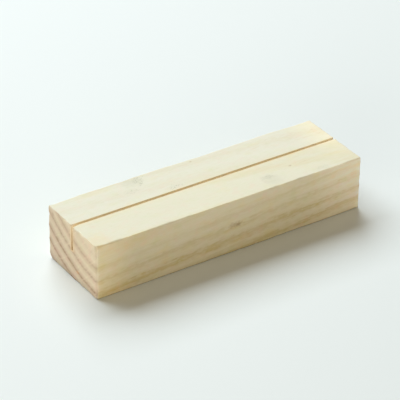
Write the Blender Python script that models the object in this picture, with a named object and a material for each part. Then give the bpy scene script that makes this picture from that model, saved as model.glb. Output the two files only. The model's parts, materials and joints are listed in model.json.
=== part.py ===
"""Memo card holder: one length of planed pine batten with a saw-cut slot along its top.

X runs along the batten, Y from its front face to its back face, and Z up. The origin is
the middle of the face that it stands on. Every size is in metres.
"""

import math

import bmesh
import bpy

MM = 0.001

# The batten, planed on four faces and cut to length
LENGTH = 104.0 * MM
WIDTH = 30.0 * MM
HEIGHT = 20.0 * MM

# Its arrises. Sandpaper has only just broken the three crisp long ones and the ones round
# the sawn ends. The lower back one keeps the broad round of the board it was ripped from.
LONG_ARRIS_RADIUS = 0.4 * MM
BOARD_EDGE_RADIUS = 2.2 * MM
END_ARRIS_RADIUS = 0.25 * MM

# The card slot: one pass of a saw, flat at its floor, open at the top and at both ends
SLOT_WIDTH = 1.2 * MM
SLOT_DEPTH = 9.5 * MM
SLOT_SETBACK = 0.3 * MM  # from the middle of the batten towards its back face
SLOT_MOUTH_RADIUS = 0.1 * MM

# Facets in the quarter turn of each round
LONG_ARRIS_FACETS = 4
BOARD_EDGE_FACETS = 10
END_ARRIS_FACETS = 4
SLOT_MOUTH_FACETS = 3

# Bare wood: pale, matte and not metallic
PINE_COLOUR = (0.80, 0.72, 0.52, 1.0)
PINE_ROUGHNESS = 0.65
SHARP_ANGLE = math.radians(40.0)


def clear_scene():
    for obj in list(bpy.data.objects):
        bpy.data.objects.remove(obj, do_unlink=True)


def pine():
    material = bpy.data.materials.new("pine")
    material.use_nodes = True
    shader = material.node_tree.nodes["Principled BSDF"]
    shader.inputs["Base Color"].default_value = PINE_COLOUR
    shader.inputs["Roughness"].default_value = PINE_ROUGHNESS
    shader.inputs["Metallic"].default_value = 0.0
    material.diffuse_color = PINE_COLOUR
    return material


def quarter_round(corner, start, radius, inset, facets):
    """Points of an outside corner's round, turning anticlockwise from the angle start.

    corner is where its two faces would meet, and inset moves both faces into the wood
    about the round's own centre. Past its radius the inset leaves a sharp corner.
    """
    reach = max(radius, inset)
    side = (math.cos(start), math.sin(start))
    top = (-side[1], side[0])
    centre = [corner[i] - reach * (side[i] + top[i]) for i in range(2)]
    turned = [start + math.pi / 2 * step / facets for step in range(facets + 1)]
    left = reach - inset
    return [(centre[0] + left * math.cos(a), centre[1] + left * math.sin(a)) for a in turned]


def section(inset):
    """The batten's outline across its length as (y, z), with its faces moved in by inset.

    It runs anticlockwise from the lower front arris, and dips into the slot from the back.
    """
    front, back = -WIDTH / 2, WIDTH / 2
    slot_front = SLOT_SETBACK - SLOT_WIDTH / 2
    slot_back = SLOT_SETBACK + SLOT_WIDTH / 2
    floor = HEIGHT - SLOT_DEPTH - inset
    right_angle = math.pi / 2

    def arris(y, z, start):
        return quarter_round((y, z), start, LONG_ARRIS_RADIUS, inset, LONG_ARRIS_FACETS)

    def mouth(y, start):
        return quarter_round((y, HEIGHT), start, SLOT_MOUTH_RADIUS, inset, SLOT_MOUTH_FACETS)

    points = arris(front, 0.0, 2 * right_angle)
    points += quarter_round(
        (back, 0.0), 3 * right_angle, BOARD_EDGE_RADIUS, inset, BOARD_EDGE_FACETS
    )
    points += arris(back, HEIGHT, 0.0)
    points += mouth(slot_back, right_angle)
    points += [(slot_back + inset, floor), (slot_front - inset, floor)]
    points += mouth(slot_front, 0.0)
    points += arris(front, HEIGHT, right_angle)
    return points


def stations():
    """(x, inset) of each cross-section, from the left end to the right end."""
    turns = [math.pi / 2 * step / END_ARRIS_FACETS for step in range(END_ARRIS_FACETS + 1)]
    right = [
        (
            LENGTH / 2 - END_ARRIS_RADIUS * (1 - math.sin(turn)),
            END_ARRIS_RADIUS * (1 - math.cos(turn)),
        )
        for turn in turns
    ]
    left = [(-x, inset) for x, inset in reversed(right)]
    return left + right


def slotted_block(material):
    """The whole holder: the section lofted through its stations and capped at both ends."""
    bm = bmesh.new()
    rings = [[bm.verts.new((x, y, z)) for y, z in section(inset)] for x, inset in stations()]
    for near, far in zip(rings, rings[1:]):
        for i in range(len(near)):
            j = (i + 1) % len(near)
            bm.faces.new((near[i], near[j], far[j], far[i]))
    bm.faces.new(rings[0])
    bm.faces.new(rings[-1])
    bmesh.ops.remove_doubles(bm, verts=bm.verts, dist=0.001 * MM)
    bmesh.ops.recalc_face_normals(bm, faces=bm.faces)

    mesh = bpy.data.meshes.new("slotted_block")
    bm.to_mesh(mesh)
    bm.free()
    mesh.materials.append(material)
    mesh.shade_smooth()
    mesh.set_sharp_from_angle(angle=SHARP_ANGLE)
    block = bpy.data.objects.new("slotted_block", mesh)
    bpy.context.scene.collection.objects.link(block)
    return block


def main():
    clear_scene()
    slotted_block(pine())


main()
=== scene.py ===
"""Looks of a memo card holder: one block of bare pine with a saw-cut slot along its top.

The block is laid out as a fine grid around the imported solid's own sizes. Geometry Nodes then
round its arrises, raise its growth rings and saw its ends, and a shader built on the same
ring rule colours it. Everything is in metres: X along the block, Y from front to back, Z up.
"""

import json
import math
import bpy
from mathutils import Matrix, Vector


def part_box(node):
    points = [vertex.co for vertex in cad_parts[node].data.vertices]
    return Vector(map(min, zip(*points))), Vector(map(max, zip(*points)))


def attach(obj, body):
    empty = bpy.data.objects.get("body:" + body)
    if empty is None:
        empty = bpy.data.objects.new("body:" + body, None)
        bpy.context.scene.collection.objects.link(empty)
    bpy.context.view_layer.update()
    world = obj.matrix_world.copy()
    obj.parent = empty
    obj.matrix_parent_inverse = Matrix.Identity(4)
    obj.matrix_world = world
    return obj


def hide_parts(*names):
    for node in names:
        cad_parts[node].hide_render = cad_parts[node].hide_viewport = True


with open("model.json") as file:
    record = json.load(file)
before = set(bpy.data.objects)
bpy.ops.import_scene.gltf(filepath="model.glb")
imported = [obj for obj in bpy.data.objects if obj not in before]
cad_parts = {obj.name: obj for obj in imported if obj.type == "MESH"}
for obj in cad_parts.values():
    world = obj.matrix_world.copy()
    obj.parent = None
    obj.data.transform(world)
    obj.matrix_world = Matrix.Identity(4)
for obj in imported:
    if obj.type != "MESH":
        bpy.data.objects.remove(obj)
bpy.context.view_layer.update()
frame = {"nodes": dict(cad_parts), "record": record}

from types import SimpleNamespace
from typing import NamedTuple

import bpy
from mathutils import Matrix, Vector

bl_info = {
    "name": "Pine card holder",
    "version": (1, 0, 0),
    "blender": (4, 5, 0),
    "location": "3D View > Sidebar > Card Holder",
    "description": "Builds a slotted pine card holder and the stage it stands on",
    "category": "Object",
}

MM = 0.001
NODE = "slotted_block"


def mm(*lengths):
    """Lengths written in millimetres, made metres."""
    return tuple(length * MM for length in lengths)


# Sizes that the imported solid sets

LOW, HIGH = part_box(NODE)

# How far the wood behind the slot has swollen into it
SWELLING = 0.15 * MM

# What tells the corners of the slot's floor from the others: how near they lie to its height,
# and to the middle of the block as a share of its width
SAME_HEIGHT = 0.01 * MM
NEAR_MIDDLE = 0.1


def slot_walls():
    """The slot's front and back wall on Y and its floor's height, from the solid's corners."""
    mounts = {mount["name"]: mount for mount in frame["record"]["mounts"]}
    floor = mounts["slot_floor"]["pos_m"][2]
    corners = [vertex.co for vertex in frame["nodes"][NODE].data.vertices]
    level = [co.y for co in corners if abs(co.z - floor) < SAME_HEIGHT]
    inner = [y for y in level if abs(y) < NEAR_MIDDLE * (HIGH.y - LOW.y)]
    return min(inner), max(inner) - SWELLING, floor


SLOT_FRONT, SLOT_BACK, SLOT_FLOOR = slot_walls()
SLOT_MIDDLE = (SLOT_FRONT + SLOT_BACK) / 2
SLOT_HALF = (SLOT_BACK - SLOT_FRONT) / 2


def srgb(*levels):
    """A colour written as three screen levels from 0 to 255, made linear."""
    shares = [level / 255 for level in levels]
    return tuple(s / 12.92 if s < 0.04045 else ((s + 0.055) / 1.055) ** 2.4 for s in shares)


# Node trees

# Most of a noise's values lie within this of 0
NOISE_SWING = 0.5

# How far out from its centre a patch is at its full strength, as a share of its size
PATCH_CORE = 0.15


class Pattern(NamedTuple):
    """A noise: the size of its blobs on each axis, its seed, and how fine its detail goes."""

    size: tuple
    seed: float
    detail: float = 2.0


class Peaks(NamedTuple):
    """What a pattern has over a level, times a gain."""

    pattern: Pattern
    level: float
    gain: float


class Tint(NamedTuple):
    """What a colour is multiplied by, the values of a pattern between which it comes up, and
    how fully. A gain over 1 lightens."""

    gain: tuple
    zone: tuple = (0.0, 1.0)
    strength: float = 1.0


class Value:
    """One number or vector that a node gives. Arithmetic on it adds Math nodes."""

    def __init__(self, nodes, socket):
        self.nodes = nodes
        self.socket = socket

    def math(self, operation, *others):
        return self.nodes.add("ShaderNodeMath", {"operation": operation}, [self, *others])

    def __add__(self, other):
        return self.math("ADD", other)

    def __sub__(self, other):
        return self.math("SUBTRACT", other)

    def __rsub__(self, other):
        return self.nodes.add("ShaderNodeMath", {"operation": "SUBTRACT"}, [other, self])

    def __mul__(self, other):
        return self.math("MULTIPLY", other)

    def __truediv__(self, other):
        return self.math("DIVIDE", other)

    def __pow__(self, other):
        return self.math("POWER", other)

    def __neg__(self):
        return self * -1.0

    def __abs__(self):
        return self.math("ABSOLUTE")

    __radd__ = __add__
    __rmul__ = __mul__

    def least(self, other):
        return self.math("MINIMUM", other)

    def most(self, other):
        return self.math("MAXIMUM", other)

    def over(self, limit):
        """1 where it is greater than limit, else 0."""
        return self.math("GREATER_THAN", limit)

    def smooth(self, low, high):
        """0 below low and 1 above high, with a soft step between. low may be the greater."""
        settings = {"interpolation_type": "SMOOTHSTEP"}
        ends = {"Value": self, "From Min": low, "From Max": high}
        if low < high:
            return self.nodes.add("ShaderNodeMapRange", settings, ends)
        ends = {"Value": self, "From Min": high, "From Max": low, "To Min": 1.0, "To Max": 0.0}
        return self.nodes.add("ShaderNodeMapRange", settings, ends)


class Nodes:
    """Adds nodes to one tree, for geometry or for a shader."""

    def __init__(self, tree):
        self.tree = tree
        tree.nodes.clear()

    def add(self, kind, settings=(), inputs=(), output=0):
        """One node: its settings first, then its sockets' values or links.

        inputs is a list in the order of the sockets, or a dict by socket identifier.
        """
        node = self.tree.nodes.new(kind)
        for name, value in dict(settings).items():
            if name == "stops":
                self.set_stops(node, value)
            else:
                setattr(node, name, value)
        pairs = inputs.items() if isinstance(inputs, dict) else enumerate(inputs)
        for key, value in pairs:
            socket = self.socket(node.inputs, key)
            if isinstance(value, Value):
                self.tree.links.new(value.socket, socket)
            else:
                socket.default_value = value
        return Value(self, self.socket(node.outputs, output)) if node.outputs else node

    def socket(self, sockets, key):
        if isinstance(key, int):
            return sockets[key]
        return next(s for s in sockets if s.identifier == key)

    def set_stops(self, node, stops):
        """Sets a ramp's stops from pairs of place and level."""
        ramp = node.color_ramp
        while len(ramp.elements) < len(stops):
            ramp.elements.new(0.5)
        for stop, (place, level) in zip(ramp.elements, stops):
            stop.position = place
            stop.color = (level, level, level, 1.0)
        ramp.interpolation = "EASE"

    def vector(self, x, y, z):
        return self.add("ShaderNodeCombineXYZ", inputs=[x, y, z])

    def split(self, vector):
        node = self.add("ShaderNodeSeparateXYZ", inputs=[vector]).socket.node
        return [Value(self, socket) for socket in node.outputs]

    def mix(self, share, first, second, blend="MIX"):
        """From colour first to colour second as share goes from 0 to 1."""
        settings = {"data_type": "RGBA", "blend_type": blend, "clamp_factor": True}
        inputs = {"Factor_Float": share, "A_Color": colour(first), "B_Color": colour(second)}
        return self.add("ShaderNodeMix", settings, inputs, "Result_Color")

    def tint(self, wood, tint, share, pattern=None):
        """The wood's colour times the tint's, as far as share and the pattern say."""
        share = share * tint.strength
        if pattern is not None:
            share = pattern.smooth(*tint.zone) * share
        return self.mix(share, wood, tint.gain, "MULTIPLY")

    def stretched(self, place, size):
        """A place in units of size, so that a pattern of unit blobs has blobs of that size."""
        return self.vector(*[at / length for at, length in zip(place, size)])

    def noise(self, place, pattern):
        """Smooth noise about 0, mostly within NOISE_SWING of it."""
        blobs = self.stretched(place, pattern.size)
        inputs = {"Vector": blobs, "W": pattern.seed, "Scale": 1.0, "Detail": pattern.detail}
        found = self.add("ShaderNodeTexNoise", {"noise_dimensions": "4D"}, inputs)
        return found * 2.0 - 1.0

    def peaks(self, place, peaks):
        """What the pattern has over its level, times its gain, and 0 where it has less."""
        return (self.noise(place, peaks.pattern) - peaks.level).most(0.0) * peaks.gain

    def specks(self, place, pattern):
        """Distance from the nearest of many scattered points, as a share of their spacing."""
        inputs = {"Vector": self.stretched(place, pattern.size), "W": pattern.seed, "Scale": 1.0}
        return self.add("ShaderNodeTexVoronoi", {"voronoi_dimensions": "4D"}, inputs)

    def patch(self, place, centre, size, ragged=0.0):
        """1 at centre, fading to 0 at size from it along each axis. ragged frays its edge."""
        far = sum(((at - c) / s) ** 2.0 for at, c, s in zip(place, centre, size)) ** 0.5
        return (far + ragged).smooth(1.0, PATCH_CORE)

    def ramp(self, share, stops):
        return self.add("ShaderNodeValToRGB", {"stops": stops}, [share])


def colour(value):
    """A colour of three levels given its alpha, or a link as it is."""
    return value if isinstance(value, Value) else (*value, 1.0)


# The ring rule, which the relief and the colours share

# How the rings stray from true circles, slowly and quickly
SLOW_STRAY = Pattern(mm(60, 11, 11), seed=1.7, detail=1.0)
QUICK_STRAY = Pattern(mm(16, 1.5, 1.5), seed=5.2)

# A ring across its growth, from the middle of one year's pale wood to the next year's, as pairs
# of place and darkness. A sawn end shows its late wood sharply, with a blush about it, and a
# planed face cuts it at a slant and blurs it.
RING_ON_END = [
    (0.1, 0.0), (0.28, 0.18), (0.41, 0.45), (0.47, 0.95), (0.52, 1.0), (0.58, 0.6), (0.74, 0.0)
]
RING_ON_FACE = [
    (0.02, 0.0), (0.32, 0.27), (0.48, 0.8), (0.6, 1.0), (0.73, 0.55), (0.88, 0.27), (1.0, 0.0)
]
RING_BLUSH = [(0.0, 0.0), (0.25, 0.5), (0.5, 1.0), (0.75, 0.7), (1.0, 0.0)]

# The ring count of the first year in the block, and from there outwards, how strong each
# year's late wood is and the blush about it
FIRST_YEAR = 1
LATE_YEARS = (0.1, 0.09, 0.41, 0.66, 1.0, 0.88, 0.6, 0.7, 0.5)
BLUSH_YEARS = (0.15, 0.25, 1.0, 0.55, 0.75, 0.65, 0.5, 0.5, 0.4)


def along_the_grain(figure, x, y, z):
    """Coordinates whose first axis follows the fibres, which lean a little across the block."""
    return x, y - figure.grain_lean_y * x, z - figure.grain_lean_z * x


def ring_count(nodes, figure, grain):
    """How many rings lie between the first and a place. Late wood is darkest at a whole one."""
    side = grain[1] - figure.pith_y
    height = grain[2] - figure.pith_z
    radius = (side * side + height * height) ** 0.5
    slow = nodes.noise(grain, SLOW_STRAY) * figure.ring_wander
    quick = nodes.noise(grain, QUICK_STRAY) * figure.ring_fray
    return (radius + slow + quick - figure.first_ring) / figure.ring_spacing


def year_bands(nodes, count, ring, years):
    """The ring's darkness at a place, times the strength of the year that it lies in."""
    year = count + 0.5
    share = nodes.ramp(year.math("FRACT"), ring)
    steps = [((index + 0.5) / len(years), level) for index, level in enumerate(years)]
    strength = nodes.ramp((year.math("FLOOR") - FIRST_YEAR + 0.5) / len(years), steps)
    return share * strength


# Properties that a user would change

LEAST_ROUND = 0.05 * MM
LEAST_RING = 0.5 * MM


def measure(name, description, default, least=0.0):
    """A length that can be changed, down to the least that makes sense."""
    return bpy.props.FloatProperty(
        name=name, description=description, default=default, min=least, unit="LENGTH"
    )


def brightness(name, description, default):
    """A light's power or strength."""
    return bpy.props.FloatProperty(name=name, description=description, default=default, min=0.0)


def shade(name, description, *levels):
    """A colour whose default is written as three screen levels."""
    return bpy.props.FloatVectorProperty(
        name=name, description=description, default=srgb(*levels), min=0.0, max=1.0, subtype="COLOR"
    )


class PineFigure(bpy.types.PropertyGroup):
    """Where the block was cut from the log."""

    pith_y: bpy.props.FloatProperty(
        name="Pith across",
        description="Distance of the log's centre behind the block's centre line",
        default=-19.9 * MM,
        unit="LENGTH",
    )
    pith_z: bpy.props.FloatProperty(
        name="Pith height",
        description="Height of the log's centre over the block's base",
        default=67.9 * MM,
        unit="LENGTH",
    )
    first_ring: measure("First ring", "Radius of the ring counted as 0", 39.2 * MM)
    ring_spacing: measure("Ring spacing", "One year's growth", 4.66 * MM, LEAST_RING)
    ring_wander: measure("Ring wander", "How far the rings stray from true circles", 0.9 * MM)
    ring_fray: measure("Ring fray", "How ragged the edges of a ring are", 0.45 * MM)
    grain_lean_y: bpy.props.FloatProperty(
        name="Grain lean across",
        description="Shift of the fibres towards the back, for each length along the block",
        default=0.012,
    )
    grain_lean_z: bpy.props.FloatProperty(
        name="Grain lean up",
        description="Rise of the fibres, for each length along the block",
        default=0.070,
    )


class PineRelief(bpy.types.PropertyGroup):
    """How the block's surfaces and edges are worked."""

    arris_radius: measure("Arris radius", "Round of the crisp long edges", 0.4 * MM, LEAST_ROUND)
    board_edge_radius: measure(
        "Board edge radius", "Round of the board on the lower back edge", 2.2 * MM, LEAST_ROUND
    )
    mouth_radius: measure(
        "Slot mouth radius", "Round of the slot's two upper edges", 0.1 * MM, LEAST_ROUND
    )
    end_radius: measure("End arris radius", "Round of the ends' edges", 0.25 * MM, LEAST_ROUND)
    ring_relief: measure(
        "Ring relief", "How far late wood stands over early wood on the long faces", 0.03 * MM
    )
    end_ring_relief: measure(
        "End ring relief", "How far late wood stands over early wood on the sawn ends", 0.07 * MM
    )
    saw_mark_depth: measure("Saw mark depth", "Depth of the saw's arcs on the ends", 0.02 * MM)
    planing_hollow: measure("Planing hollow", "How far planed faces fall short of flat", 0.06 * MM)


class PineColours(bpy.types.PropertyGroup):
    """The colours of the wood, with painted sheen in the top's colours and painted light in the
    slot's.
    """

    early: shade("Early wood", "Pale wood of spring growth on the long faces", 232, 219, 186)
    late: shade("Late wood", "Amber wood of summer growth on the long faces", 216, 197, 146)
    # Painted sheen: the top's two colours are paler and cooler than the long faces', standing in
    # for the sheen that the light from behind lays on the top
    top_early: shade("Top early wood", "Early wood on the top, bleached by light", 240, 238, 218)
    top_late: shade("Top late wood", "Late wood on the top, bleached by light", 235, 227, 200)
    end_early: shade("End early wood", "Early wood where the ends are sawn across", 239, 222, 192)
    end_blush: shade("End blush", "Pinker wood beside the late wood on the ends", 226, 202, 172)
    end_late: shade("End late wood", "Late wood where the ends are sawn across", 184, 151, 121)
    # Painted light: the slot's two colours are paler than the wood, for the light that bounces
    # about inside the slot, and browner towards its floor
    slot_mouth: shade("Slot mouth", "Wood in the mouth of the slot", 255, 238, 206)
    slot_depth: shade("Slot depth", "Wood at the slot's floor, browned by the saw", 243, 218, 178)
    knot: shade("Pin knot", "Core of the small knot on the front", 148, 106, 76)
    smudge: shade("Smudge", "Grey finger marks on the top", 208, 207, 184)


class StageSettings(bpy.types.PropertyGroup):
    """The table and the light."""

    floor: shade("Floor", "Colour of the table", 237, 243, 242)
    window_power: brightness("Window", "Power of the soft light behind the block, in watts", 51.0)
    side_power: brightness("Side", "Power of the weak soft light on the left, in watts", 4.0)
    sky: brightness("Sky", "Strength of the light from all round", 0.21)


class CardHolder(bpy.types.PropertyGroup):
    """All of the card holder's settings."""

    figure: bpy.props.PointerProperty(type=PineFigure)
    relief: bpy.props.PointerProperty(type=PineRelief)
    colours: bpy.props.PointerProperty(type=PineColours)
    stage: bpy.props.PointerProperty(type=StageSettings)


# The block's grid

# Gaps between its stations: the one beside an edge, the widest across the block and along it,
# and how much wider each is than the one before. The slot's floor has a few even ones.
FINE_GAP = 0.085 * MM
GAP_ACROSS = 0.27 * MM
GAP_ALONG = 0.8 * MM
GAP_GROWTH = 1.35
SLOT_FLOOR_GAPS = 4


def graded(low, high, coarse):
    """Stations from low to high, whose gaps grow from fine at both ends to coarse between."""
    middle = (high - low) / 2
    steps = [0.0]
    gap = FINE_GAP
    while steps[-1] < middle:
        steps.append(steps[-1] + gap)
        gap = min(gap * GAP_GROWTH, coarse)
    fit = middle / steps[-1]
    near = [low + step * fit for step in steps]
    far = [high - step * fit for step in reversed(steps[:-1])]
    return near + far


def one_nearer(step, goal):
    """The whole number beside step on its way to goal, or goal itself."""
    return step + (goal > step) - (goal < step)


def square_block():
    """The slotted block with square edges: a closed skin of fine quads, longer with the grain."""
    xs = graded(LOW.x, HIGH.x, GAP_ALONG)
    front = graded(LOW.y, SLOT_FRONT, GAP_ACROSS)
    gap = (SLOT_BACK - SLOT_FRONT) / SLOT_FLOOR_GAPS
    slot_floor = [SLOT_FRONT + gap * step for step in range(1, SLOT_FLOOR_GAPS)]
    ys = front + slot_floor + graded(SLOT_BACK, HIGH.y, GAP_ACROSS)
    lower = graded(LOW.z, SLOT_FLOOR, GAP_ACROSS)
    zs = lower + graded(SLOT_FLOOR, HIGH.z, GAP_ACROSS)[1:]
    slot_from = len(front) - 1
    slot_to = slot_from + SLOT_FLOOR_GAPS
    floor_row, top_row, back_column = len(lower) - 1, len(zs) - 1, len(ys) - 1

    turns = [(0, 0), (back_column, 0), (back_column, top_row), (slot_to, top_row)]
    turns += [(slot_to, floor_row), (slot_from, floor_row), (slot_from, top_row), (0, top_row)]
    outline = []
    for at, (to_j, to_k) in zip(turns, turns[1:] + turns[:1]):
        while at != (to_j, to_k):
            outline.append(at)
            at = (one_nearer(at[0], to_j), one_nearer(at[1], to_k))

    places, corners = [], {}

    def corner(i, j, k):
        if (i, j, k) not in corners:
            corners[i, j, k] = len(places)
            places.append((xs[i], ys[j], zs[k]))
        return corners[i, j, k]

    quads = []
    last = len(xs) - 1
    for i in range(last):
        for near, far in zip(outline, outline[1:] + outline[:1]):
            loop = [(i, *near), (i, *far), (i + 1, *far), (i + 1, *near)]
            quads.append([corner(*at) for at in loop])
    for j in range(back_column):
        for k in range(top_row):
            if slot_from <= j < slot_to and k >= floor_row:
                continue
            loop = [(j, k), (j + 1, k), (j + 1, k + 1), (j, k + 1)]
            quads.append([corner(last, *at) for at in loop])
            quads.append([corner(0, *at) for at in reversed(loop)])

    mesh = bpy.data.meshes.new("planed_block")
    mesh.from_pydata(places, [], quads)
    mesh.update()
    return mesh


# The block's worked surface

# The tree's inputs, which are the relief's settings under their names as titles
RELIEF_INPUTS = {name.replace("_", " ").title(): name for name in PineRelief.__annotations__}

# How far arrises are worn, as shares of their radius: at the least, in slow swells, in nicks and
# at the corner where the front, the top and the left end meet
LEAST_WEAR = 0.45
SWELLS = Peaks(Pattern(mm(13, 30, 30), seed=2.4), level=-0.15, gain=3.0)
NICKS = Peaks(Pattern(mm(2.6, 9, 9), seed=7.7), level=0.1, gain=6.0)
WORN_CORNER = (LOW.x, LOW.y, HIGH.z)
WORN_CORNER_SIZE = mm(5.5, 2.2, 2.2)
WORN_CORNER_GAIN = 1.6

# How much less the back is nicked, and how much less the lower arrises are worn
BACK_CALM = 0.7
LOWER_CALM = 0.4

# The same for the slot's mouth: at the least, with the arrises, near the ends, and at its left
# front corner, which cards have rubbed. Its back edge is less worn.
MOUTH_LEAST_WEAR = 0.5
MOUTH_SHARED_WEAR = 0.5
MOUTH_END_WEAR = 1.8
MOUTH_END_REACH = 2.5 * MM
WORN_MOUTH = (LOW.x, SLOT_FRONT, HIGH.z)
WORN_MOUTH_SIZE = mm(2.4, 1.1, 1.1)
WORN_MOUTH_GAIN = 5.0
MOUTH_BACK_CALM = 0.5

# The same for the ends' edges: at the least, where the wood is soft, in chips, and down the
# knocked front edge of the left end
END_LEAST_WEAR = 0.5
END_SOFT_WEAR = 0.7
CHIPS = Peaks(Pattern(mm(2.4, 2.4, 2.4), seed=4.6), level=0.05, gain=8.5)
KNOCKED_WEAR = 2.6
KNOCKED_ZONE = mm(1.6, 0.3)

# How much less they are worn by the slot, and where
BY_SLOT_CALM = 0.75
BY_SLOT_ZONE = mm(1.2, 0.2)

# How near a face is for it to say which way is into the wood
INWARDS_REACH = 0.8 * MM

# A small length and a small share, which keep sums and divisors off 0
HAIR = 0.02 * MM
NEARLY_NONE = 0.0001

# Each vertex keeps its distance from the nearer end, as it was before any relief
FROM_END = "from_end"

# How deep the skin is that counts as a sawn end
END_SKIN = 0.4 * MM

# Centre on Y and Z of the round saw that cut the ends, and the arcs that it left
SAW_CENTRE = mm(80, 105)
SAW_ARC = Pattern(mm(0.7, 4, 5), seed=6.4)

# Slow hollows that the planer left
HOLLOWS = Peaks(Pattern(mm(30, 14, 14), seed=9.3, detail=1.0), level=-0.4, gain=1.0)

# The small knot on the front face
KNOT = (1.2 * MM, LOW.y, 10.4 * MM)
KNOT_SIZE = mm(3.8, 1.5, 1.5)
KNOT_FRAY = Pattern(mm(0.8, 1, 0.8), seed=2.9, detail=3.0)
KNOT_RAGGED = 1.1
KNOT_DIMPLE = 0.05 * MM


def saw_arcs(nodes, place):
    """Arcs of a round saw across an end: smooth noise that changes only away from its centre."""
    x, y, z = place
    side = y - SAW_CENTRE[0]
    height = z - SAW_CENTRE[1]
    away = (side * side + height * height) ** 0.5
    return nodes.noise((away, x, y), SAW_ARC)


def knot_mark(nodes, place):
    """1 on the knot, with a ragged edge."""
    ragged = nodes.noise(place, KNOT_FRAY) * KNOT_RAGGED
    return nodes.patch(place, KNOT, KNOT_SIZE, ragged)


def knocked_edge(x, y):
    """1 along the front edge of the left end, which knocks have softened."""
    return (y - LOW.y).smooth(*KNOCKED_ZONE) * (1.0 - x.over(0.0))


def drawn_in(first, second):
    """How far a square edge's point moves in onto its round, as a share of its place."""
    reach = (first * first + second * second) ** 0.5
    return 1.0 - first.most(second) / reach.most(NEARLY_NONE)


def surroundings(nodes, place):
    """How far a place on the square block is from its faces, and which part of it that is."""
    x, y, z = place
    at = SimpleNamespace(x=x, y=y)
    at.from_slot = abs(y - SLOT_MIDDLE) - SLOT_HALF
    at.from_side = HIGH.y - abs(y)
    at.from_end = HIGH.x - abs(x)
    from_top = HIGH.z - z
    at.from_rise = from_top.least(z)
    at.side = y.math("SIGN")
    at.back = y.over(SLOT_MIDDLE)
    at.beside_slot = at.back * 2.0 - 1.0
    at.low = from_top.over(HIGH.z / 2)
    at.mouth = at.from_side.over(at.from_slot) * (1.0 - at.low)
    at.downwards = at.low * 2.0 - 1.0
    at.slot_y = (at.from_slot + HAIR).most(0.0)
    at.slot_z = (z - SLOT_FLOOR - HAIR).least(0.0)
    at.from_walls = (at.slot_y * at.slot_y + at.slot_z * at.slot_z) ** 0.5
    at.worn = nodes.patch(place, WORN_CORNER, WORN_CORNER_SIZE) * WORN_CORNER_GAIN
    return at


def rounded_section(nodes, place, given, at):
    """How far each point moves on Y and Z to round the section's arrises, worn unevenly."""
    nicks = nodes.peaks(place, NICKS) * (1.0 - at.back * BACK_CALM)
    wear = LEAST_WEAR + nodes.peaks(place, SWELLS) + nicks + at.worn
    arris = given["Arris Radius"] * wear * (1.0 - at.low * LOWER_CALM)
    radius = arris + (given["Board Edge Radius"] - arris) * (at.low * at.back)
    near_end = at.from_end.smooth(MOUTH_END_REACH, 0.0) * MOUTH_END_WEAR
    rubbed = nodes.patch(place, WORN_MOUTH, WORN_MOUTH_SIZE) * WORN_MOUTH_GAIN
    mouth = MOUTH_LEAST_WEAR + wear * MOUTH_SHARED_WEAR + near_end + rubbed
    mouth = given["Mouth Radius"] * mouth * (1.0 - at.back * MOUTH_BACK_CALM)
    radius = radius + (mouth - radius) * at.mouth
    across = at.from_side + (at.from_slot - at.from_side) * at.mouth
    side_share = (1.0 - across / radius).most(0.0)
    rise_share = (1.0 - at.from_rise / radius).most(0.0)
    drawn = drawn_in(side_share, rise_share) * radius
    inwards = at.beside_slot * at.mouth - at.side * (1.0 - at.mouth)
    return drawn * side_share * inwards, drawn * rise_share * at.downwards


def into_the_wood(at):
    """Which way on Y and Z is into the wood, from whichever faces are near."""
    near_side = (1.0 - at.from_side / INWARDS_REACH).most(0.0)
    near_rise = (1.0 - at.from_rise / INWARDS_REACH).most(0.0)
    near_slot = (1.0 - at.from_walls / INWARDS_REACH).most(0.0) / at.from_walls
    in_y = near_slot * at.slot_y * at.beside_slot - near_side * at.side
    in_z = near_slot * at.slot_z + near_rise * at.downwards
    size = (in_y * in_y + in_z * in_z).most(HAIR * HAIR) ** 0.5
    return in_y / size, in_z / size


def eased_ends(nodes, place, given, at, figure):
    """How far each point moves on X, Y and Z to ease the sawn ends, chipped here and there."""
    count = ring_count(nodes, figure, along_the_grain(figure, *place))
    soft = 1.0 - year_bands(nodes, count, RING_ON_END, LATE_YEARS)
    knocked = knocked_edge(at.x, at.y) * KNOCKED_WEAR
    wear = END_LEAST_WEAR + soft * END_SOFT_WEAR + nodes.peaks(place, CHIPS) + at.worn + knocked
    radius = given["End Radius"] * wear
    radius = radius * (1.0 - at.from_walls.smooth(*BY_SLOT_ZONE) * BY_SLOT_CALM)
    from_outline = at.from_side.least(at.from_rise).least((at.from_walls - HAIR).most(0.0))
    end_share = (1.0 - at.from_end / radius).most(0.0)
    outline_share = (1.0 - from_outline / radius).most(0.0)
    drawn = drawn_in(end_share, outline_share) * radius
    in_y, in_z = into_the_wood(at)
    move_x = -(drawn * end_share * at.x.math("SIGN"))
    return move_x, drawn * outline_share * in_y, drawn * outline_share * in_z


def raised_rings(nodes, given, figure):
    """How far each point sinks. Late wood stands proud of softer early wood, most on the ends."""
    place = nodes.split(nodes.add("GeometryNodeInputPosition"))
    count = ring_count(nodes, figure, along_the_grain(figure, *place))
    soft = 1.0 - year_bands(nodes, count, RING_ON_END, LATE_YEARS)
    on_end = (HIGH.x - abs(place[0])).smooth(END_SKIN, 0.0)
    sawn = (saw_arcs(nodes, place) + NOISE_SWING).most(0.0) * given["Saw Mark Depth"]
    sawn = given["End Ring Relief"] * soft + sawn
    planed = given["Ring Relief"] * soft + knot_mark(nodes, place) * KNOT_DIMPLE
    planed = planed + nodes.peaks(place, HOLLOWS) * given["Planing Hollow"]
    planed = planed * (1.0 - on_end)
    facing = nodes.split(nodes.add("GeometryNodeInputNormal"))
    sunk = [along * -planed for along in facing]
    sunk[0] = sunk[0] - place[0].math("SIGN") * sawn * on_end
    return nodes.vector(*sunk)


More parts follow.
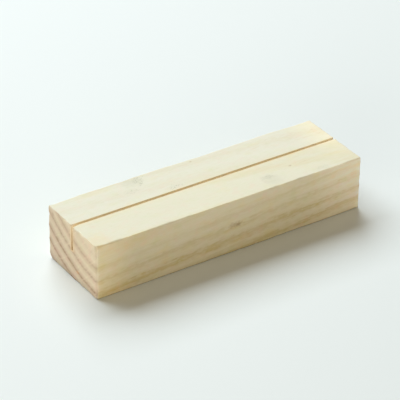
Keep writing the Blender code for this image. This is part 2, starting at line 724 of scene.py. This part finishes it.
def worked_surface_tree(figure, material):
    """Geometry Nodes: rounds the arrises, eases the sawn ends and raises the growth rings."""
    tree = bpy.data.node_groups.new("Worked pine", "GeometryNodeTree")
    tree.is_modifier = True
    tree.interface.new_socket("Geometry", in_out="INPUT", socket_type="NodeSocketGeometry")
    tree.interface.new_socket("Geometry", in_out="OUTPUT", socket_type="NodeSocketGeometry")
    for name in RELIEF_INPUTS:
        size = tree.interface.new_socket(name, in_out="INPUT", socket_type="NodeSocketFloat")
        size.subtype = "DISTANCE"
    nodes = Nodes(tree)
    group = nodes.add("NodeGroupInput").socket.node
    given = {socket.name: Value(nodes, socket) for socket in group.outputs}

    def move(geometry, offset):
        return nodes.add("GeometryNodeSetPosition", inputs={"Geometry": geometry, "Offset": offset})

    place = nodes.split(nodes.add("GeometryNodeInputPosition"))
    at = surroundings(nodes, place)
    round_y, round_z = rounded_section(nodes, place, given, at)
    end_x, end_y, end_z = eased_ends(nodes, place, given, at, figure)
    settings = {"data_type": "FLOAT", "domain": "POINT"}
    inputs = {"Geometry": given["Geometry"], "Name": FROM_END, "Value": at.from_end}
    geometry = nodes.add("GeometryNodeStoreNamedAttribute", settings, inputs)
    geometry = move(geometry, nodes.vector(end_x, round_y + end_y, round_z + end_z))
    geometry = move(geometry, raised_rings(nodes, given, figure))
    geometry = nodes.add("GeometryNodeRealizeInstances", inputs=[geometry])
    inputs = {"Geometry": geometry, "Material": material}
    geometry = nodes.add("GeometryNodeSetMaterial", inputs=inputs)
    nodes.add("NodeGroupOutput", inputs=[geometry])
    return tree


def finish_mesh(piece, tree, relief):
    """Runs the tree on the piece, keeps the result as a plain mesh and takes the modifier off."""
    modifier = piece.modifiers.new(tree.name, "NODES")
    modifier.node_group = tree
    for item in tree.interface.items_tree:
        if item.name in RELIEF_INPUTS:
            modifier[item.identifier] = getattr(relief, RELIEF_INPUTS[item.name])
    depsgraph = bpy.context.evaluated_depsgraph_get()
    mesh = bpy.data.meshes.new_from_object(piece.evaluated_get(depsgraph))
    piece.modifiers.clear()
    piece.data = mesh
    mesh.shade_smooth()


# The block's material

# Streaks along the grain of the planed faces, and slow changes of tone and of hue
FLAME = Pattern(mm(8, 0.8, 0.8), seed=12.4, detail=3.0)
STREAK = Pattern(mm(34, 1.3, 1.3), seed=8.3)
KINK = Pattern(mm(2.6, 1.2, 1.2), seed=35.0)
TONE_PATCH = Pattern(mm(55, 7, 6), seed=21.3)
HUE_PATCH = Pattern(mm(6, 2.6, 2.6), seed=51.0, detail=3.0)
FIBRE = Pattern(mm(4, 0.17, 0.17), seed=3.1, detail=3.0)
RESIN_CANAL = Pattern(mm(9, 0.9, 0.9), seed=4.4)

# On the sawn ends: dashes that break the rings, rays out from the pith and the cells' open ends
DASH = Pattern(mm(1.4, 1.4, 1.4), seed=41.0, detail=3.0)
RAY = Pattern(mm(0.22, 6, 3), seed=3.3)
CELLS = Pattern(mm(0.3, 0.3, 0.3), seed=15.2, detail=3.0)

# All over: a pink or green cast, the patches of the painted highlight on the arrises, and the
# raggedness and the specks of marks
CAST = Pattern(mm(3.2, 3.2, 3.2), seed=57.0, detail=3.0)
HIGHLIGHT_PATCHES = Pattern(mm(3.5, 3.5, 3.5), seed=18.0)
RAGGED = Pattern(mm(1.5, 1.5, 1.5), seed=31.0, detail=4.0)
SPECK = Pattern(mm(0.55, 0.55, 0.55), seed=66.0)

# In the slot: how unevenly it browns with depth, and where the saw has singed it
BROWNING = Pattern(mm(12, 2, 2), seed=27.0)
SINGEING = Pattern(mm(5, 2, 0.7), seed=61.0, detail=3.0)

# How far flames and kinks shift the bands, in rings, how strongly streaks break them, how much
# calmer the top is, its bands washed out as painted sheen, and how much paler bands are towards the
# right end
FLAME_SHIFT = 0.3
KINK_SHIFT = 0.35
STREAK_STRENGTH = 0.9
TOP_SHEEN_CALM = 0.6
RIGHT_END_FADE = 0.15

# Tints of the planed faces: changes of tone, then of hue, with how much less of these is on top
GREYER = Tint((0.985, 0.965, 1.0), (0.0, 0.6), 0.8)
YELLOWER = Tint((1.0, 0.98, 0.90), (0.0, -0.6), 0.8)
DULLER = Tint((1.02, 1.01, 1.10), (0.0, 0.5))
HONEY = Tint((1.0, 0.975, 0.84), (0.0, -0.5))
DULLER_TOP_LOSS = 0.8
HONEY_TOP_LOSS = 0.55

# Browner streaks, fibres and resin canals
STREAK_TINT = Tint((0.935, 0.91, 0.845), (0.0, 0.7), 0.5)
FIBRE_TINT = Tint((0.935, 0.91, 0.845), (-0.1, 0.6), 0.6)
CANAL_TINT = Tint((0.72, 0.66, 0.60), (0.13, 0.05), 0.55)

# Where a faint false ring lies by the ring count, its tint by the distance from that, where it
# starts along the block, its strength, and what is left of it below the top
FALSE_RING = 2.67
FALSE_RING_TINT = Tint((0.98, 0.945, 0.87), (0.2, 0.06))
FALSE_RING_START = mm(-8, 12)
FALSE_RING_STRENGTH = 0.8
FALSE_RING_BELOW = 0.4

# The long faces by height: painted light, paler upwards, from where along the block, how much less
# on the back, and painted shade, darker at the foot
UPPER_PAINTED_LIGHT = Tint((1.13, 1.14, 1.16), (6 * MM, HIGH.z))
UPPER_START = mm(-75, 30)
UPPER_BACK_LOSS = 0.6
LONG_FOOT_SHADE = Tint((0.93, 0.935, 0.86), mm(3.2, 0.4))

# The long faces' painted light: a paler stretch towards each end, and the strip right beside it
LEFT_END_PAINTED_LIGHT = (1.24, 1.20, 1.13)
RIGHT_END_PAINTED_LIGHT = (1.25, 1.25, 1.37)
LEFT_EDGE_PAINTED_LIGHT = (1.03, 1.06, 1.22)
RIGHT_EDGE_PAINTED_LIGHT = (1.05, 1.07, 1.12)

# The top: along its front edge and where that stops, in front of the slot, painted light towards
# the right end and where across that starts, and beside the slot
TOP_EDGE_TINT = Tint((1.0, 0.985, 0.93), mm(2.0, 0.2))
TOP_EDGE_STOP = mm(40, -10)
TOP_FRONT_TINT = Tint((1.0, 0.99, 0.95))
TOP_RIGHT_PAINTED_LIGHT = Tint((1.15, 1.10, 1.01), (38 * MM, HIGH.x))
TOP_RIGHT_START = mm(-14, 4)
SLOT_GLOW = Tint((1.03, 1.0, 0.93))

# How fully the blush and the late wood colour the sawn ends, how strongly dashes break the late
# wood, and how much of it pale scratches between the saw's furrows take away
BLUSH_SHARE = 0.9
LATE_SHARE = 0.74
DASH_STRENGTH = 1.1
SCRATCH_LOSS = 0.6
SCRATCH_ZONE = (0.0, -0.4)

# How long a ray runs for each ring, and how far dashes shift the painted shade of the foot
RAY_RUN = 3.0 * MM
FOOT_STRAY = 2 * MM

# Tints of the sawn ends: rays, cells, the saw's furrows and the scratches between them, painted
# shade towards the lower back and at the foot, and beside the slot
RAY_TINT = Tint((0.93, 0.91, 0.90), (0.0, 0.45), 0.35)
CELL_TINT = Tint((0.93, 0.91, 0.90), (0.0, 0.6), 0.5)
SAW_TINT = Tint((0.93, 0.91, 0.90), (0.05, 0.5), 0.4)
SCRATCH_TINT = Tint((1.05, 1.06, 1.06), (-0.1, -0.5))
UNDER_SHADE = Tint((0.815, 0.80, 0.845), mm(-35, 25))
END_FOOT_SHADE = Tint((0.80, 0.80, 0.82), mm(4, 0.0), 0.9)
WARM_EDGE = Tint((1.0, 0.94, 0.83), strength=0.9)

# The cast, and how much less of it is on planed faces, and again on the top
PINKER = Tint((1.035, 0.955, 0.97), (0.0, 0.5))
GREENER = Tint((0.955, 0.99, 0.925), (0.0, -0.5))
CAST_LOSS = 0.2

# The upper arrises' painted highlight, patchy along them, with its strength where it is least, and
# the painted highlight on the sawn ends' rim. The lower arrises have painted shade where they meet
# the table.
HIGHLIGHT_ZONE = (-0.3, 0.4)
ARRIS_HIGHLIGHT = Tint((1.25, 1.23, 1.15))
LEAST_HIGHLIGHT = 0.6
RIM_HIGHLIGHT_SHARE = 0.7
CONTACT_SHADE = Tint((0.58, 0.54, 0.46), strength=0.8)

# The slot's walls: where they turn brown, how far that strays, and singed places
BROWNED_HEIGHT = (HIGH.z - 0.5 * MM, SLOT_FLOOR + 1.0 * MM)
BROWNED_STRAY = 3 * MM
SINGED_TINT = Tint((0.86, 0.78, 0.66), (0.0, 0.5), 0.8)

# Bare wood shines less than a varnished face
DRY_WOOD_SHINE = 0.25

# Roughness of planed wood, and what sawn or worn wood and the fibres add to it
PLANED_ROUGHNESS = 0.62
SAWN_ROUGHNESS = 0.25
FIBRE_ROUGHNESS = 0.08

# The fibres' bump, and how deep the resin canals are in it
BUMP_STRENGTH = 0.5
BUMP_HEIGHT = 0.02 * MM
CANAL_DEPTH = 0.5

# Parts of the block. Each zone fades in from its first value to its second.

# The ends' skin, how much deeper it is at the knocked edge, and the strip beside it
END_ZONE = mm(0.4, 0.05)
KNOCKED_DEPTH = 1.2
EDGE_ZONE = mm(2.2, 0.0)

# The stretch near an end that is paler with painted light, how much longer at the right one and
# weaker on the back
END_LIGHT_ZONE = mm(17, 0.0)
RIGHT_END_LIGHT_REACH = 0.6
BACK_END_LIGHT_LOSS = 0.8

# The top without its arrises: down from it, in from the sides and out from the slot
TOP_SKIN = mm(0.3, 0.1)
TOP_FROM_SIDE = mm(0.0, 0.25)
TOP_FROM_SLOT = mm(0.1, 0.5)

# Arrises: how far the painted highlight on the upper ones and the painted shade on the lower ones
# reach from them, and how the rim stops by the slot
ARRIS_ZONE = mm(0.75, 0.0)
UPPER_ARRIS_ZONE = mm(0.45, 0.0)
LOWER_ARRIS_HEIGHT = mm(0.55, 0.1)
RIM_FROM_SLOT = mm(0.2, 0.6)

# The slot's inside, its mouth's depth, how far below its floor it ends, and beside it
SLOT_ZONE = mm(0.5, 0.05)
MOUTH_DEPTH = 0.7 * MM
BELOW_FLOOR = 0.5 * MM
BESIDE_SLOT_ZONE = mm(2.4, 0.0)

# The colours of the resin, and of the flecks and the knot
AMBER = srgb(214, 140, 70)
BROWN = srgb(174, 138, 106)

# How ragged marks are, and shares of it: smudges' wash and resin, patches and flecks, and the
# knot's core
RAGGEDNESS = 1.2
WASH_RAGGED = 0.4
PATCH_RAGGED = 0.5
CORE_RAGGED = 0.7

# Grey smudges on the top, each a faint wash with darker specks in it: its centre on X and Y, its
# half length and half width, and the strengths of the wash and of the specks
SMUDGES = (
    (mm(-22.4, 12.6), mm(5.6, 4.4), 0.28, 0.0),
    (mm(-19.2, 12.7), mm(2.6, 4.2), 0.18, 1.2),
    (mm(-24.8, 7.6), mm(3.4, 1.7), 0.10, 0.6),
    (mm(-10.6, 2.7), mm(4.0, 1.6), 0.12, 1.6),
    (mm(18.6, -10.8), mm(5.2, 5.2), 0.26, 0.0),
    (mm(18.2, -8.6), mm(3.2, 2.0), 0.26, 0.5),
    (mm(37.0, -13.2), mm(4.4, 2.0), 0.16, 0.2),
)
SMUDGE_DEPTH = 1.0 * MM
SPECK_ZONE = (0.02, 0.3)

# Warmer patches: centre, half sizes along, across and up, and strength
WARM_PATCHES = (
    ((-50.0 * MM, -11.5 * MM, HIGH.z), mm(7.5, 5.5, 1.0), 1.0),
    ((-51.5 * MM, LOW.y, HIGH.z), mm(4.5, 1.0, 2.4), 1.0),
    ((-36.0 * MM, 13.0 * MM, HIGH.z), mm(7.5, 2.4, 1.0), 0.6),
    ((-50.6 * MM, LOW.y, 6.2 * MM), mm(2.2, 1.0, 1.5), 0.8),
    ((-36.0 * MM, LOW.y, 17.8 * MM), mm(20.0, 1.0, 4.4), 0.8),
    ((14.0 * MM, -2.4 * MM, HIGH.z), mm(9.0, 1.6, 1.0), 0.4),
)
WARM_PATCH_TINT = Tint((1.015, 0.965, 0.88))

# Small brown flecks: centre, half length and strength, and how wide each is for its length
FLECKS = (
    ((28.7 * MM, -6.6 * MM, HIGH.z), 0.9 * MM, 0.40),
    ((1.8 * MM, 13.3 * MM, HIGH.z), 0.8 * MM, 0.40),
    ((LOW.x, 12.2 * MM, 17.8 * MM), 1.3 * MM, 0.30),
)
FLECK_WIDTH = 0.7

# Amber resin on the left end
RESIN_SPOT = (LOW.x, -3.3 * MM, 4.0 * MM)
RESIN_SPOT_SIZE = mm(1.0, 1.3, 0.8)
RESIN_SHARE = 0.45

# The knot's brown and its darker core
KNOT_SHARE = 0.35
KNOT_CORE = (2.5 * MM, LOW.y, 10.1 * MM)
KNOT_CORE_SIZE = mm(1.3, 1.0, 0.9)
KNOT_CORE_SHARE = 0.42


def areas(nodes, place):
    """Which part of the block a place is on, as shares from 0 to 1."""
    x, y, z = place
    from_end = nodes.add("ShaderNodeAttribute", {"attribute_name": FROM_END}, output="Fac")
    from_slot = abs(y - SLOT_MIDDLE) - SLOT_HALF
    from_side = HIGH.y - abs(y)
    from_top = HIGH.z - z
    area = SimpleNamespace(back=y.over(SLOT_MIDDLE), right=x.over(0.0))
    tighter_behind = 1.0 + area.back
    by_end = from_end.smooth(*ARRIS_ZONE)
    by_side = from_side.smooth(*ARRIS_ZONE)
    by_top = from_top.smooth(*ARRIS_ZONE)
    area.end = (from_end / (1.0 + knocked_edge(x, y) * KNOCKED_DEPTH)).smooth(*END_ZONE)
    area.edge = from_end.smooth(*EDGE_ZONE)
    # The stretch near an end where the long faces have painted light
    pale = (from_end / (1.0 + area.right * RIGHT_END_LIGHT_REACH)).smooth(*END_LIGHT_ZONE)
    area.near_end = pale * (1.0 - area.back * BACK_END_LIGHT_LOSS)
    top = from_top.smooth(*TOP_SKIN) * from_side.smooth(*TOP_FROM_SIDE)
    area.top = top * (abs(from_slot) * tighter_behind).smooth(*TOP_FROM_SLOT)
    area.upper_arris = from_side.smooth(*UPPER_ARRIS_ZONE) * from_top.smooth(*UPPER_ARRIS_ZONE)
    area.lower_arris = by_side.most(by_end) * z.smooth(*LOWER_ARRIS_HEIGHT)
    # The sawn ends' upper rim, which takes a painted highlight
    area.rim = by_top * by_end * from_slot.smooth(*RIM_FROM_SLOT)
    below_mouth = (z + from_slot).smooth(HIGH.z, HIGH.z - MOUTH_DEPTH)
    above_floor = z.smooth(SLOT_FLOOR - BELOW_FLOOR, SLOT_FLOOR)
    area.slot = from_slot.smooth(*SLOT_ZONE) * below_mouth * above_floor
    beside = (from_slot * tighter_behind).smooth(*BESIDE_SLOT_ZONE)
    area.beside_slot = beside * z.over(SLOT_FLOOR - BELOW_FLOOR)
    return area


def long_grain(nodes, colours, area, place, grain, count):
    """Planed faces: soft ring bands broken into streaks, over slow changes of tone."""
    x, y, z = place
    below = 1.0 - area.top
    # The top's bands, streaks and greyer patches are calmer, washed out as painted sheen
    sheen_calm = 1.0 - area.top * TOP_SHEEN_CALM
    flame = nodes.noise(grain, FLAME)
    streak = nodes.noise(grain, STREAK) * sheen_calm
    shifted = count + flame * FLAME_SHIFT + nodes.noise(grain, KINK) * KINK_SHIFT
    faded = 1.0 - area.near_end * area.right * RIGHT_END_FADE
    dark = year_bands(nodes, shifted, RING_ON_FACE, LATE_YEARS)
    dark = dark * (1.0 + streak * STREAK_STRENGTH) * faded
    # On the top the wood takes the paler colours of its painted sheen
    early = nodes.mix(area.top, colours.early, colours.top_early)
    late = nodes.mix(area.top, colours.late, colours.top_late)
    wood = nodes.mix(dark, early, late)
    tone = nodes.noise(grain, TONE_PATCH)
    wood = nodes.tint(wood, GREYER, sheen_calm, tone)
    wood = nodes.tint(wood, YELLOWER, 1.0, tone)
    wood = nodes.tint(wood, STREAK_TINT, sheen_calm, flame + streak)
    hue = nodes.noise(grain, HUE_PATCH)
    wood = nodes.tint(wood, DULLER, 1.0 - area.top * DULLER_TOP_LOSS, hue)
    wood = nodes.tint(wood, HONEY, 1.0 - area.top * HONEY_TOP_LOSS, hue)
    ring = x.smooth(*FALSE_RING_START) * (1.0 - below * (1.0 - FALSE_RING_BELOW))
    ring = ring * (FALSE_RING_STRENGTH + flame)
    wood = nodes.tint(wood, FALSE_RING_TINT, ring, abs(count - FALSE_RING))
    # Painted light on the long faces, paler upwards
    upper = x.smooth(*UPPER_START) * (1.0 - area.back * UPPER_BACK_LOSS)
    wood = nodes.tint(wood, UPPER_PAINTED_LIGHT, upper * below, z)
    # Painted light on the long faces, paler towards each end and in the strip beside it
    gain = nodes.mix(area.right, LEFT_END_PAINTED_LIGHT, RIGHT_END_PAINTED_LIGHT)
    wood = nodes.mix(area.near_end * below, wood, gain, "MULTIPLY")
    gain = nodes.mix(area.right, LEFT_EDGE_PAINTED_LIGHT, RIGHT_EDGE_PAINTED_LIGHT)
    wood = nodes.mix(area.edge * below, wood, gain, "MULTIPLY")
    # Painted shade, darker at the foot of the long faces
    wood = nodes.tint(wood, LONG_FOOT_SHADE, 1.0, z)
    wood = nodes.tint(wood, TOP_EDGE_TINT, area.top * x.smooth(*TOP_EDGE_STOP), y - LOW.y)
    wood = nodes.tint(wood, TOP_FRONT_TINT, area.top * (1.0 - area.back))
    # Painted light, paler towards the right end of the top
    return nodes.tint(wood, TOP_RIGHT_PAINTED_LIGHT, area.top * y.smooth(*TOP_RIGHT_START), x)


def end_grain(nodes, colours, area, place, figure, count):
    """Sawn ends: sharp rings, fine rays out from the pith, the open ends of the cells, and painted
    shade towards the lower back and at the foot.
    """
    x, y, z = place
    dash = nodes.noise(place, DASH) * DASH_STRENGTH
    saw = saw_arcs(nodes, place)
    dark = year_bands(nodes, count, RING_ON_END, LATE_YEARS) * (1.0 + dash)
    dark = dark * (1.0 - saw.smooth(*SCRATCH_ZONE) * SCRATCH_LOSS)
    blush = year_bands(nodes, count, RING_BLUSH, BLUSH_YEARS)
    wood = nodes.mix(blush * BLUSH_SHARE, colours.end_early, colours.end_blush)
    wood = nodes.mix(dark * LATE_SHARE, wood, colours.end_late)
    turn = (y - figure.pith_y).math("ARCTAN2", figure.pith_z - z)
    ray = nodes.noise((turn * figure.pith_z, count * RAY_RUN, x), RAY)
    wood = nodes.tint(wood, RAY_TINT, 1.0, ray)
    wood = nodes.tint(wood, CELL_TINT, 1.0, nodes.noise(place, CELLS))
    # Painted shade, darker and greyer towards the lower back and at the foot of each end
    wood = nodes.tint(wood, UNDER_SHADE, 1.0, y - z)
    wood = nodes.tint(wood, END_FOOT_SHADE, 1.0, z + dash * FOOT_STRAY)
    wood = nodes.tint(wood, WARM_EDGE, area.beside_slot)
    wood = nodes.tint(wood, SAW_TINT, 1.0, saw)
    return nodes.tint(wood, SCRATCH_TINT, 1.0, saw)


def slot_wood(nodes, colours, place):
    """The slot's walls and floor, paler than the wood as painted light bounced about in the slot,
    browner with depth and singed here and there.
    """
    depth = place[2] + nodes.noise(place, BROWNING) * BROWNED_STRAY
    wall = nodes.mix(depth.smooth(*BROWNED_HEIGHT), colours.slot_mouth, colours.slot_depth)
    return nodes.tint(wall, SINGED_TINT, 1.0, nodes.noise(place, SINGEING))


def marked(nodes, colours, place, wood):
    """The knot, smudges, flecks and resin that the block has picked up."""
    ragged = nodes.noise(place, RAGGED) * RAGGEDNESS
    speck = nodes.noise(place, SPECK).smooth(*SPECK_ZONE)
    smudged = 0.0
    for centre, size, wash, specks in SMUDGES:
        centre, size = (*centre, HIGH.z), (*size, SMUDGE_DEPTH)
        mark = nodes.patch(place, centre, size, ragged)
        wide = nodes.patch(place, centre, size, ragged * WASH_RAGGED)
        smudged = wide * wash + mark * speck * specks + smudged
    wood = nodes.mix(smudged, wood, colours.smudge)
    for centre, size, strength in WARM_PATCHES:
        warm = nodes.patch(place, centre, size, ragged * PATCH_RAGGED) * strength
        wood = nodes.tint(wood, WARM_PATCH_TINT, warm)
    flecked = 0.0
    for centre, length, strength in FLECKS:
        size = (length, length * FLECK_WIDTH, length * FLECK_WIDTH)
        flecked = nodes.patch(place, centre, size, ragged * PATCH_RAGGED) * strength + flecked
    wood = nodes.mix(flecked, wood, BROWN)
    resin = nodes.patch(place, RESIN_SPOT, RESIN_SPOT_SIZE, ragged * WASH_RAGGED)
    wood = nodes.mix(resin * RESIN_SHARE, wood, AMBER)
    wood = nodes.mix(knot_mark(nodes, place) * KNOT_SHARE, wood, BROWN)
    core = nodes.patch(place, KNOT_CORE, KNOT_CORE_SIZE, ragged * CORE_RAGGED)
    return nodes.mix(core * KNOT_CORE_SHARE, wood, colours.knot)


def pine_material(figure, colours):
    """Bare pine: rings by the ring rule, paler along the grain and browner across it."""
    material = bpy.data.materials.new("bare_pine")
    material.use_nodes = True
    nodes = Nodes(material.node_tree)
    place = nodes.split(nodes.add("ShaderNodeTexCoord", output="Object"))
    grain = along_the_grain(figure, *place)
    count = ring_count(nodes, figure, grain)
    area = areas(nodes, place)
    planed = 1.0 - area.end

    wood = long_grain(nodes, colours, area, place, grain, count)
    fibre = nodes.noise(grain, FIBRE)
    wood = nodes.tint(wood, FIBRE_TINT, 1.0, fibre)
    wood = nodes.mix(area.end, wood, end_grain(nodes, colours, area, place, figure, count))
    cast = nodes.noise(place, CAST)
    cast_share = 1.0 - (area.top + planed) * CAST_LOSS
    wood = nodes.tint(wood, PINKER, cast_share, cast)
    wood = nodes.tint(wood, GREENER, cast_share, cast)
    canal = nodes.specks(grain, RESIN_CANAL).smooth(*CANAL_TINT.zone)
    wood = nodes.tint(wood, CANAL_TINT, canal)
    # Painted highlight, patchy, on the upper arrises and on the sawn ends' rim
    rubbed = nodes.noise(place, HIGHLIGHT_PATCHES).smooth(*HIGHLIGHT_ZONE)
    highlighted = area.upper_arris * planed * (LEAST_HIGHLIGHT + rubbed * (1.0 - LEAST_HIGHLIGHT))
    wood = nodes.tint(wood, ARRIS_HIGHLIGHT, highlighted)
    # Painted shade on the lower arrises where they meet the table
    wood = nodes.tint(wood, CONTACT_SHADE, area.lower_arris)
    wood = nodes.mix(area.rim * rubbed * RIM_HIGHLIGHT_SHARE, wood, colours.top_early)
    wood = marked(nodes, colours, place, wood)
    wood = nodes.tint(wood, SLOT_GLOW, area.beside_slot * area.top)
    wood = nodes.mix(area.slot, wood, slot_wood(nodes, colours, place))

    relief = fibre * planed - canal * CANAL_DEPTH
    inputs = {"Strength": BUMP_STRENGTH, "Distance": BUMP_HEIGHT, "Height": relief}
    bump = nodes.add("ShaderNodeBump", inputs=inputs)
    worn = area.end.most(area.upper_arris)
    rough = PLANED_ROUGHNESS + worn * SAWN_ROUGHNESS + fibre * FIBRE_ROUGHNESS
    inputs = {
        "Base Color": wood,
        "Roughness": rough,
        "Normal": bump,
        "Specular IOR Level": DRY_WOOD_SHINE,
    }
    shader = nodes.add("ShaderNodeBsdfPrincipled", inputs=inputs)
    nodes.add("ShaderNodeOutputMaterial", inputs={"Surface": shader})
    return material


class CARDHOLDER_OT_block(bpy.types.Operator):
    """Make the slotted block of pine"""

    bl_idname = "card_holder.block"
    bl_label = "Slotted block"

    def execute(self, context):
        settings = context.scene.card_holder
        material = pine_material(settings.figure, settings.colours)
        block = bpy.data.objects.new("planed_block", square_block())
        context.scene.collection.objects.link(block)
        finish_mesh(block, worked_surface_tree(settings.figure, material), settings.relief)
        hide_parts(NODE)
        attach(block, "root")
        return {"FINISHED"}


# The stage

TABLE_SIZE = 8.0
TABLE_ROUGHNESS = 0.6

# Each soft light: direction as degrees round from behind and up, distance, width and height
WINDOW = (0.0, 48.0, 2.0, 2.1, 1.3)
SIDE = (-125.0, 10.0, 1.1, 0.8, 0.4)
WINDOW_COLOUR = (0.88, 0.95, 1.0)
SIDE_COLOUR = (1.0, 0.98, 0.93)
SKY_COLOUR = (1.0, 0.82, 0.58)

# The camera's place, measured from the photograph's own perspective
CAMERA_AZIMUTH = math.radians(-33.55)
CAMERA_ELEVATION = math.radians(32.02)
CAMERA_ROLL = math.radians(0.69)
CAMERA_DISTANCE = 0.7244
CAMERA_SLIDE = mm(-2.42, 2.09)
CAMERA_LENS = 195.84
CAMERA_SENSOR = 36.0


def direction(azimuth, elevation):
    """Towards a point azimuth round from behind the block, to the right, and elevation up."""
    flat = math.cos(elevation)
    return Vector((math.sin(azimuth) * flat, math.cos(azimuth) * flat, math.sin(elevation)))


def add_soft_light(scene, name, place, power, tint):
    azimuth, elevation, distance, width, height = place
    data = bpy.data.lights.new(name, "AREA")
    data.shape = "RECTANGLE"
    data.size = width
    data.size_y = height
    data.energy = power
    data.color = tint
    light = bpy.data.objects.new(name, data)
    scene.collection.objects.link(light)
    towards = direction(math.radians(azimuth), math.radians(elevation))
    light.location = towards * distance
    light.rotation_euler = towards.to_track_quat("Z", "Y").to_euler()


def add_sky(scene, strength):
    world = bpy.data.worlds.new("sky")
    world.use_nodes = True
    background = world.node_tree.nodes["Background"]
    background.inputs["Color"].default_value = colour(SKY_COLOUR)
    background.inputs["Strength"].default_value = strength
    scene.world = world


def add_table(scene, tint):
    reach = TABLE_SIZE / 2
    corners = [(-reach, -reach, 0), (reach, -reach, 0), (reach, reach, 0), (-reach, reach, 0)]
    mesh = bpy.data.meshes.new("table")
    mesh.from_pydata(corners, [], [(0, 1, 2, 3)])
    table = bpy.data.objects.new("table", mesh)
    scene.collection.objects.link(table)
    material = bpy.data.materials.new("table")
    material.use_nodes = True
    shader = material.node_tree.nodes["Principled BSDF"]
    shader.inputs["Base Color"].default_value = colour(tint)
    shader.inputs["Roughness"].default_value = TABLE_ROUGHNESS
    mesh.materials.append(material)


def add_camera(scene):
    back = direction(math.pi - CAMERA_AZIMUTH, CAMERA_ELEVATION)
    level = Vector((math.cos(CAMERA_AZIMUTH), math.sin(CAMERA_AZIMUTH), 0.0))
    raised = back.cross(level)
    right = level * math.cos(CAMERA_ROLL) + raised * math.sin(CAMERA_ROLL)
    up = back.cross(right)
    slide = right * CAMERA_SLIDE[0] + up * CAMERA_SLIDE[1]
    place = (LOW + HIGH) / 2 + back * CAMERA_DISTANCE + slide
    data = bpy.data.cameras.new("camera")
    data.sensor_width = CAMERA_SENSOR
    data.lens = CAMERA_LENS
    camera = bpy.data.objects.new("camera", data)
    scene.collection.objects.link(camera)
    turn = Matrix((right, up, back)).transposed().to_4x4()
    camera.matrix_world = Matrix.Translation(place) @ turn
    scene.camera = camera


class CARDHOLDER_OT_stage(bpy.types.Operator):
    """Make the table, the light and the camera"""

    bl_idname = "card_holder.stage"
    bl_label = "Stage"

    def execute(self, context):
        scene = context.scene
        settings = scene.card_holder.stage
        add_table(scene, settings.floor)
        add_soft_light(scene, "window", WINDOW, settings.window_power, WINDOW_COLOUR)
        add_soft_light(scene, "side", SIDE, settings.side_power, SIDE_COLOUR)
        add_sky(scene, settings.sky)
        add_camera(scene)
        scene.view_settings.view_transform = "Standard"
        return {"FINISHED"}


class CARDHOLDER_PT_panel(bpy.types.Panel):
    """The card holder's settings and pieces"""

    bl_idname = "CARDHOLDER_PT_panel"
    bl_label = "Card Holder"
    bl_space_type = "VIEW_3D"
    bl_region_type = "UI"
    bl_category = "Card Holder"

    def draw(self, context):
        settings = context.scene.card_holder
        for group in (settings.figure, settings.relief, settings.colours, settings.stage):
            box = self.layout.box()
            for name in group.bl_rna.properties.keys():
                if name not in ("rna_type", "name"):
                    box.prop(group, name)
        for operator in OPERATORS:
            self.layout.operator(operator.bl_idname)


OPERATORS = (CARDHOLDER_OT_block, CARDHOLDER_OT_stage)
GROUPS = (PineFigure, PineRelief, PineColours, StageSettings, CardHolder)
CLASSES = (*GROUPS, *OPERATORS, CARDHOLDER_PT_panel)


def register():
    for cls in CLASSES:
        bpy.utils.register_class(cls)
    bpy.types.Scene.card_holder = bpy.props.PointerProperty(type=CardHolder)


def unregister():
    del bpy.types.Scene.card_holder
    for cls in reversed(CLASSES):
        bpy.utils.unregister_class(cls)


def main():
    register()
    bpy.ops.card_holder.block()
    bpy.ops.card_holder.stage()


if __name__ == "__main__":
    main()
